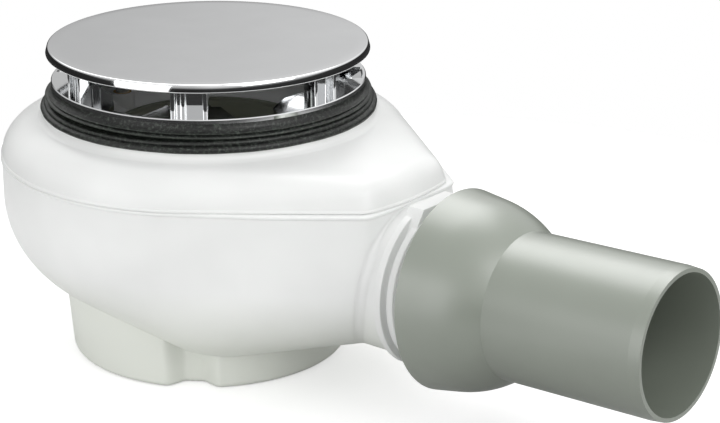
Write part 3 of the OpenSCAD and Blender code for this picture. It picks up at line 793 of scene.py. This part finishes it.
def rounded(corners, radius, steps=4):
    """A closed outline in the plan with its corners rounded; corners are (x, y) pairs."""
    outline, n = [], len(corners)
    for i in range(n):
        before, here, after = (Vector(corners[k % n]) for k in (i - 1, i, i + 1))
        arrive, leave = (before - here).normalized(), (after - here).normalized()
        for k in range(steps + 1):
            t = k / steps
            start, end = here + arrive * radius, here + leave * radius
            outline.append(start * (1 - t) ** 2 + here * 2 * t * (1 - t) + end * t ** 2)
    return outline


class TRAP_OT_cover(Operator):
    """Builds the chromed cover: a plate with a drafted, turned-down edge on six channel legs"""

    bl_idname = "trap.cover"
    bl_label = "Cover"

    def execute(self, context):
        cover = context.scene.trap_cover
        r, top, soft = cover.radius, cover.top, cover.rounding
        under, low = top - cover.thickness, top - cover.edge_depth
        face = r - cover.draft
        inner = r - cover.edge_thickness
        profile = [(0.02, under), (inner - 0.0004, under), (inner, under - 0.0004), (inner, low + 0.0003),
                   (inner + 0.0002, low)]
        profile += arc_points(r - 0.0005, low + 0.0005, 0.0005, 0.0005, -math.pi / 2, 0, 6)
        profile += arc_points(face - soft, top - soft, soft, soft, math.radians(12), math.pi / 2, 8)
        profile += [(face - soft - 0.004, top), (0.03, top)]
        bm = bmesh.new()
        skin(bm, [lathe_ring(x, z, cover.around) for x, z in profile], caps=True)
        foot = frame_top("flange_ring")
        for i in range(6):
            self.leg(bm, cover, cover.leg_turn + TURN * i / 6, foot, under + 0.0002)
        piece = finish_mesh("chromed_cover", bm, "trap", 40)
        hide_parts("cover")
        piece.data.materials.append(chrome_finish())
        return {"FINISHED"}

    @staticmethod
    def leg(bm, cover, turn, low, high):
        """A channel open to the outside, with a small rib on its web."""
        wide, deep, wall = cover.leg_width / 2, cover.leg_depth, cover.leg_wall
        rib = cover.leg_width / 4
        plan = [(0, -wide), (deep, -wide), (deep, wall - wide), (wall, wall - wide), (wall, -rib),
                (deep / 2, -rib), (deep / 2, wall - rib), (wall, wall - rib), (wall, wide - wall),
                (deep, wide - wall), (deep, wide), (0, wide)]
        rings = []
        for height in (low, high):
            ring = []
            for p in rounded(plan, 0.00035):
                x, y = cover.leg_place + p.x, p.y
                ring.append(Vector((x * math.cos(turn) - y * math.sin(turn),
                                    x * math.sin(turn) + y * math.cos(turn), height)))
            rings.append(ring)
        skin(bm, rings, caps=True)


class TRAP_OT_ball_spigot(Operator):
    """Builds the white ball spigot: sleeve, lip with its key, groove, band and ball"""

    bl_idname = "trap.ball_spigot"
    bl_label = "Ball Spigot"

    def execute(self, context):
        spigot = context.scene.trap_spigot
        height = context.scene.trap_bowl.outlet_height
        lip, band, sleeve = spigot.lip_radius, spigot.band_radius, spigot.sleeve_radius
        start, end, floor = spigot.start, spigot.band_end, spigot.groove_radius
        front = start + spigot.lip
        seal = start - 0.008
        inner = start - spigot.sleeve
        plain = [(inner, sleeve - 0.0004), (inner + 0.0004, sleeve), (seal, sleeve), (seal, sleeve - 0.0017),
                 (seal + 0.002, sleeve - 0.0017), (seal + 0.002, sleeve), (start, sleeve)]
        keyed = [(start, lip - 0.0004), (start + 0.0001, lip - 0.0001), (start + 0.0004, lip),
                 (front - 0.0004, lip), (front - 0.0001, lip - 0.0001), (front, lip - 0.0004)]
        keyed += [(front + 0.0009 - 0.0009 * math.cos(t), lip - 0.0012 - (lip - 0.0012 - floor) * math.sin(t))
                  for t in (math.pi / 2 * k / 8 for k in range(1, 9))]
        keyed += [(spigot.band_start - 0.00005, floor), (spigot.band_start, band - 0.0003),
                  (spigot.band_start + 0.0001, band - 0.0001), (spigot.band_start + 0.0003, band),
                  (spigot.key_end, band)]
        front_face = [(spigot.key_end + 0.00005, band), (end - 0.0003, band), (end - 0.0001, band - 0.0001),
                      (end, band - 0.0003), (end + 0.00042, 0.0250)]
        reach, round_from = spigot.ball_radius, end + 0.00045 - spigot.ball_place
        first, last = math.asin(round_from / reach), math.asin(spigot.ball_front / reach)
        ball = [(spigot.ball_place + reach * math.sin(first + (last - first) * k / 24),
                 reach * math.cos(first + (last - first) * k / 24)) for k in range(25)]
        bore = [(spigot.ball_place + spigot.ball_front, spigot.bore), (inner, spigot.bore)]
        rings = [self.ring(spigot, x, radius, False) for x, radius in plain]
        rings += [self.ring(spigot, x, radius, True) for x, radius in keyed]
        rings += [self.ring(spigot, x, radius, False) for x, radius in front_face + ball + bore]
        bm = bmesh.new()
        skin(bm, [along_outlet(ring, height) for ring in rings], close=True)
        piece = finish_mesh("white_ball_spigot", bm, "trap", 40)
        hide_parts("ball_spigot")
        colour = tuple(context.scene.trap_colours.spigot)
        piece.data.materials.append(moulded_plastic("spigot_plastic_finish", colour, 0.32, 900, 0.00005, 0.1))
        return {"FINISHED"}

    @staticmethod
    def ring(spigot, place, radius, keyed):
        """A ring before it is laid round the outlet's axis; the key stands on its upper side."""
        slope = spigot.key_slope
        side = spigot.key_half_width * math.sin(slope) + spigot.key_height * math.cos(slope)
        ring = []
        for i in range(spigot.around):
            a = TURN * i / spigot.around
            across, up = math.cos(a), math.sin(a)
            r = radius
            if keyed and up > 0.5:
                r = max(r, min(spigot.key_height / up,
                               side / (math.sin(slope) * abs(across) + math.cos(slope) * up)))
            ring.append(Vector((r * across, r * up, place)))
        return ring


def frame_top(node):
    """Height of a CAD node's highest point."""
    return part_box(node)[1][2]


class TRAP_OT_tray_seals(Operator):
    """Builds the two rubber tray seals with the wedge gap between them"""

    bl_idname = "trap.tray_seals"
    bl_label = "Tray Seals"

    def execute(self, context):
        scene = context.scene
        seals, bowl = scene.trap_seals, scene.trap_bowl
        top, split, neck = seals.flange_top, seals.split_height, bowl.neck_height
        upper = [(0.0452, split), (0.0452, top - 0.0053), (0.0456, top - 0.0050), (0.0540, top - 0.0019),
                 (0.0550, top - 0.0015), (0.0553, top - 0.0015), (0.0556, top - 0.0030),
                 (0.0562, top - 0.0038), (0.0569, top - 0.0043), (0.0574, top - 0.0047),
                 (0.0573, top - 0.0050), (0.0571, top - 0.0052), (0.0575, top - 0.0054),
                 (0.0581, top - 0.0056), (0.0583, top - 0.0060), (0.0581, top - 0.0063),
                 (0.0578, split)]
        lower = [(0.0452, neck), (0.0593, neck), (0.0593, neck - 0.0005), (0.0598, neck - 0.0005),
                 (0.0600, neck - 0.0002), (0.0601, neck + 0.0003), (0.0600, neck + 0.0008),
                 (0.0597, neck + 0.0013), (0.0590, neck + 0.0016), (0.0586, neck + 0.0018),
                 (0.0588, neck + 0.0022), (0.0588, neck + 0.0027), (0.0585, neck + 0.0031),
                 (0.0578, neck + 0.0034), (0.0573, split), (0.0452, split)]
        for name, node, profile, side in (("rubber_upper_seal", "upper_tray_seal", upper, 1),
                                          ("rubber_lower_seal", "lower_tray_seal", lower, -1)):
            bm = bmesh.new()
            skin(bm, [self.pressed(seals, r, h, side) for r, h in profile], close=True)
            piece = finish_mesh(name, bm, "trap", 50)
            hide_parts(node)
            piece.data.materials.append(rubber_finish())
        return {"FINISHED"}

    @staticmethod
    def pressed(seals, radius, height, side):
        """A ring of the seal: opened at the gap, and bulging a little where it is pressed."""
        ring = []
        fall = 1 - min(1.0, abs(height - seals.split_height) / 0.004)
        for i in range(seals.around):
            a = TURN * i / seals.around
            reach = radius * math.cos(a - seals.gap_turn)
            lift = max(0.0, reach) * math.tan(seals.gap / 2) * side
            wave = (math.sin(7 * a + 0.6) + 0.7 * math.sin(13 * a + 2.1) + 0.5 * math.sin(29 * a)) / 2.2
            edge = min(1.0, max(0.0, (radius - 0.0556) / 0.002))
            r = radius + seals.ripple * wave * edge
            z = height + lift * max(0.0, fall) + 0.6 * seals.ripple * wave * edge * fall
            ring.append(Vector((r * math.cos(a), r * math.sin(a), z)))
        return ring


def white_finish():
    """The shells' plastic, made once."""
    made = bpy.data.materials.get("white_plastic_finish")
    colours = bpy.context.scene.trap_colours
    # The shells get painted shade at the cup through the low colour.
    return made or moulded_plastic("white_plastic_finish", tuple(colours.white), 0.34, 900, 0.00006, 0.12,
                                   low=tuple(colours.white_painted_shade))


def rubber_finish():
    """The seals' rubber, made once."""
    made = bpy.data.materials.get("seal_rubber_finish")
    return made or seal_rubber("seal_rubber_finish", tuple(bpy.context.scene.trap_colours.rubber))


def chrome_finish():
    """The bright plating, made once."""
    made = bpy.data.materials.get("bright_chrome_finish")
    return made or bright_chrome("bright_chrome_finish", tuple(bpy.context.scene.trap_colours.chrome))


class TRAP_OT_flange(Operator):
    """Plates the flange with bright chrome"""

    bl_idname = "trap.flange"
    bl_label = "Flange"

    def execute(self, context):
        dress("flange_ring", chrome_finish())
        return {"FINISHED"}


class TRAP_OT_plastic_parts(Operator):
    """Gives the insert and the tailpipe their moulded plastics"""

    bl_idname = "trap.plastic_parts"
    bl_label = "Insert and Tailpipe"

    def execute(self, context):
        colours = context.scene.trap_colours
        dress("trap_insert", moulded_plastic("insert_plastic_finish", tuple(colours.insert),
                                             0.42, 700, 0.00008))
        dress("tailpipe", moulded_plastic("pipe_plastic_finish", tuple(colours.pipe),
                                          0.38, 800, 0.00006, coat=1.0))
        return {"FINISHED"}


class TRAP_OT_ring_seals(Operator):
    """Gives the ball seal and the two ring seals their rubber"""

    bl_idname = "trap.ring_seals"
    bl_label = "Ring Seals"

    def execute(self, context):
        for node in ("ball_seal", "insert_seal", "spigot_seal"):
            dress(node, rubber_finish())
        return {"FINISHED"}


class TRAP_OT_fastenings(Operator):
    """Gives the clamp screws and the threaded inserts their turned metals"""

    bl_idname = "trap.fastenings"
    bl_label = "Screws and Inserts"

    def execute(self, context):
        colours = context.scene.trap_colours
        dress("clamp_screws", turned_metal("screw_steel_finish", tuple(colours.steel), 0.28))
        dress("screw_inserts", turned_metal("insert_brass_finish", tuple(colours.brass), 0.34))
        return {"FINISHED"}


# Stage


class TRAP_OT_stage(Operator):
    """Lays the pale floor and sets the lamps, the world and the camera"""

    bl_idname = "trap.stage"
    bl_label = "Stage"

    def execute(self, context):
        scene = context.scene
        stage = scene.trap_stage
        self.camera(scene, stage)
        self.floor(scene)
        self.lamp(scene, "front_lamp", stage.front, 84, 35)
        self.lamp(scene, "low_lamp", stage.low, -6, 10)
        self.lamp(scene, "back_lamp", stage.back, 219, 60)
        self.world(scene, stage)
        scene.view_settings.view_transform = "Standard"
        return {"FINISHED"}

    @staticmethod
    def camera(scene, stage):
        """The camera at the photograph's place."""
        data = bpy.data.cameras.new("photo_camera")
        data.lens = stage.lens
        data.sensor_width = 36
        data.clip_start, data.clip_end = 0.01, 50
        camera = bpy.data.objects.new("photo_camera", data)
        camera.location = stage.eye
        camera.rotation_euler = (math.pi / 2 - stage.elevation, 0, stage.azimuth)
        scene.collection.objects.link(camera)
        scene.camera = camera

    @staticmethod
    def lamp(scene, name, power, turn, lift):
        """A square soft lamp 1.1 m from the trap, at an angle round it and over the floor."""
        turn, lift = math.radians(turn), math.radians(lift)
        way = Vector((math.sin(turn) * math.cos(lift), -math.cos(turn) * math.cos(lift), math.sin(lift)))
        data = bpy.data.lights.new(name, "AREA")
        data.energy = power
        data.size = 0.8
        lamp = bpy.data.objects.new(name, data)
        lamp.location = Vector((0.05, 0, 0.05)) + way * 1.1
        lamp.rotation_euler = way.to_track_quat("Z", "Y").to_euler()
        scene.collection.objects.link(lamp)

    @staticmethod
    def floor(scene):
        """A round floor, pale, with the trap's shadow on it."""
        bm = bmesh.new()
        rings = [lathe_ring(r, 0, 96) for r in (0.08, 0.16, 0.24, 0.32)]
        rows = skin(bm, rings)
        bm.faces.new(rows[0])
        mesh = bpy.data.meshes.new("pale_floor")
        bm.to_mesh(mesh)
        bm.free()
        floor = bpy.data.objects.new("pale_floor", mesh)
        floor.location = (0.06, 0, -0.0002)
        scene.collection.objects.link(floor)
        colour = tuple(scene.trap_colours.floor)
        material, tree, surface, place = shader("pale_floor_finish", colour, 0.7)
        parts = tree.nodes.new("ShaderNodeSeparateXYZ")
        tree.links.new(place, parts.inputs["Vector"])
        outward = tree.nodes.new("ShaderNodeMapRange")
        outward.inputs["From Min"].default_value, outward.inputs["From Max"].default_value = 0.0, 0.07
        tree.links.new(parts.outputs["X"], outward.inputs["Value"])
        out = outward.outputs["Result"]
        tree.links.new(blend_colour(tree, out, colour, shade(colour, 0.63), 0.0, 1.0),
                       surface.inputs["Base Color"])
        tree.links.new(blend_colour(tree, out, (0.70,) * 3, (1.0,) * 3, 0.0, 1.0), surface.inputs["Emission Color"])
        rays = tree.nodes.new("ShaderNodeLightPath")
        tree.links.new(spread(tree, rays.outputs["Is Camera Ray"], 0.0, 0.73),
                       surface.inputs["Emission Strength"])
        floor.data.materials.append(material)

    @staticmethod
    def world(scene, stage):
        """White to the camera; a pale room with two darker bands in the chrome; even light elsewhere."""
        world = bpy.data.worlds.new("pale_room")
        world.use_nodes = True
        scene.world = world
        tree = world.node_tree
        even = tree.nodes["Background"]
        even.inputs["Color"].default_value = (1, 1, 1, 1)
        even.inputs["Strength"].default_value = stage.world
        rays = tree.nodes.new("ShaderNodeLightPath")
        direction = tree.nodes.new("ShaderNodeTexCoord").outputs["Generated"]
        parts = tree.nodes.new("ShaderNodeSeparateXYZ")
        tree.links.new(direction, parts.inputs["Vector"])
        bands = tree.nodes.new("ShaderNodeValToRGB")
        stops = ((0.0, 0.25), (0.30, 0.06), (0.44, 0.02), (0.54, 0.03), (0.61, 0.58), (0.69, 0.75),
                 (0.75, 0.82), (1.0, 0.82))
        bands.color_ramp.elements[0].color = (stops[0][1],) * 3 + (1,)
        bands.color_ramp.elements[1].color = (stops[-1][1],) * 3 + (1,)
        for position, level in stops[1:-1]:
            bands.color_ramp.elements.new(position).color = (level, level, level, 1)
        lifted = tree.nodes.new("ShaderNodeMapRange")
        lifted.inputs["From Min"].default_value = -1
        tree.links.new(parts.outputs["Z"], lifted.inputs["Value"])
        tree.links.new(lifted.outputs["Result"], bands.inputs["Fac"])
        mirror = tree.nodes.new("ShaderNodeBackground")
        tree.links.new(bands.outputs["Color"], mirror.inputs["Color"])
        aside = tree.nodes.new("ShaderNodeVectorMath")
        aside.operation = "DOT_PRODUCT"
        aside.inputs[1].default_value = (math.cos(stage.azimuth), math.sin(stage.azimuth), 0)
        tree.links.new(direction, aside.inputs[0])
        brighter = tree.nodes.new("ShaderNodeMapRange")
        brighter.inputs["From Min"].default_value, brighter.inputs["From Max"].default_value = -0.12, 0.08
        brighter.inputs["To Min"].default_value, brighter.inputs["To Max"].default_value = 0.84, 1.15
        tree.links.new(aside.outputs["Value"], brighter.inputs["Value"])
        toward = tree.nodes.new("ShaderNodeVectorMath")
        toward.operation = "DOT_PRODUCT"
        toward.inputs[1].default_value = (-0.593, 0.346, 0.727)
        tree.links.new(direction, toward.inputs[0])
        card = tree.nodes.new("ShaderNodeMapRange")
        card.inputs["From Min"].default_value, card.inputs["From Max"].default_value = 0.88, 0.96
        card.inputs["To Min"].default_value, card.inputs["To Max"].default_value = 1.0, 2.6
        tree.links.new(toward.outputs["Value"], card.inputs["Value"])
        both = tree.nodes.new("ShaderNodeMath")
        both.operation = "MULTIPLY"
        tree.links.new(brighter.outputs["Result"], both.inputs[0])
        tree.links.new(card.outputs["Result"], both.inputs[1])
        tree.links.new(both.outputs["Value"], mirror.inputs["Strength"])
        white = tree.nodes.new("ShaderNodeBackground")
        white.inputs["Color"].default_value = (1, 1, 1, 1)
        first = tree.nodes.new("ShaderNodeMixShader")
        second = tree.nodes.new("ShaderNodeMixShader")
        tree.links.new(rays.outputs["Is Glossy Ray"], first.inputs["Fac"])
        tree.links.new(even.outputs["Background"], first.inputs[1])
        tree.links.new(mirror.outputs["Background"], first.inputs[2])
        seen = tree.nodes.new("ShaderNodeMath")
        seen.operation = "MAXIMUM"
        tree.links.new(rays.outputs["Is Camera Ray"], seen.inputs[0])
        tree.links.new(rays.outputs["Is Transmission Ray"], seen.inputs[1])
        tree.links.new(seen.outputs["Value"], second.inputs["Fac"])
        tree.links.new(first.outputs["Shader"], second.inputs[1])
        tree.links.new(white.outputs["Background"], second.inputs[2])
        tree.links.new(second.outputs["Shader"], tree.nodes["World Output"].inputs["Surface"])


STEPS = ("upper_shell", "lower_shell", "ball_spigot", "cover", "flange", "tray_seals", "plastic_parts",
         "ring_seals", "fastenings", "stage")


class VIEW3D_PT_waste_trap(Panel):
    """Lists the trap's pieces and settings."""

    bl_label = "Waste Trap"
    bl_idname = "VIEW3D_PT_waste_trap"
    bl_space_type = "VIEW_3D"
    bl_region_type = "UI"
    bl_category = "Waste Trap"

    def draw(self, context):
        layout = self.layout
        for step in STEPS:
            layout.operator(f"trap.{step}")
        for name in SETTINGS:
            settings = getattr(context.scene, name)
            box = layout.box()
            for prop in settings.bl_rna.properties:
                if prop.identifier not in ("rna_type", "name"):
                    box.prop(settings, prop.identifier)


SETTINGS = {
    "trap_colours": TrapColours,
    "trap_bowl": TrapBowl,
    "trap_cup": TrapCup,
    "trap_cover": TrapCover,
    "trap_spigot": TrapSpigot,
    "trap_seals": TrapSeals,
    "trap_stage": TrapStage,
}

CLASSES = (*SETTINGS.values(), TRAP_OT_upper_shell, TRAP_OT_lower_shell, TRAP_OT_ball_spigot,
           TRAP_OT_cover, TRAP_OT_flange, TRAP_OT_tray_seals, TRAP_OT_plastic_parts, TRAP_OT_ring_seals, TRAP_OT_fastenings,
           TRAP_OT_stage, VIEW3D_PT_waste_trap)


def register():
    for cls in CLASSES:
        bpy.utils.register_class(cls)
    for name, group in SETTINGS.items():
        setattr(bpy.types.Scene, name, PointerProperty(type=group))


def unregister():
    for name in SETTINGS:
        delattr(bpy.types.Scene, name)
    for cls in reversed(CLASSES):
        bpy.utils.unregister_class(cls)


def main():
    """Builds everything in order."""
    register()
    for step in STEPS:
        getattr(bpy.ops.trap, step)()
    bpy.context.view_layer.update()


if __name__ == "__main__":
    main()
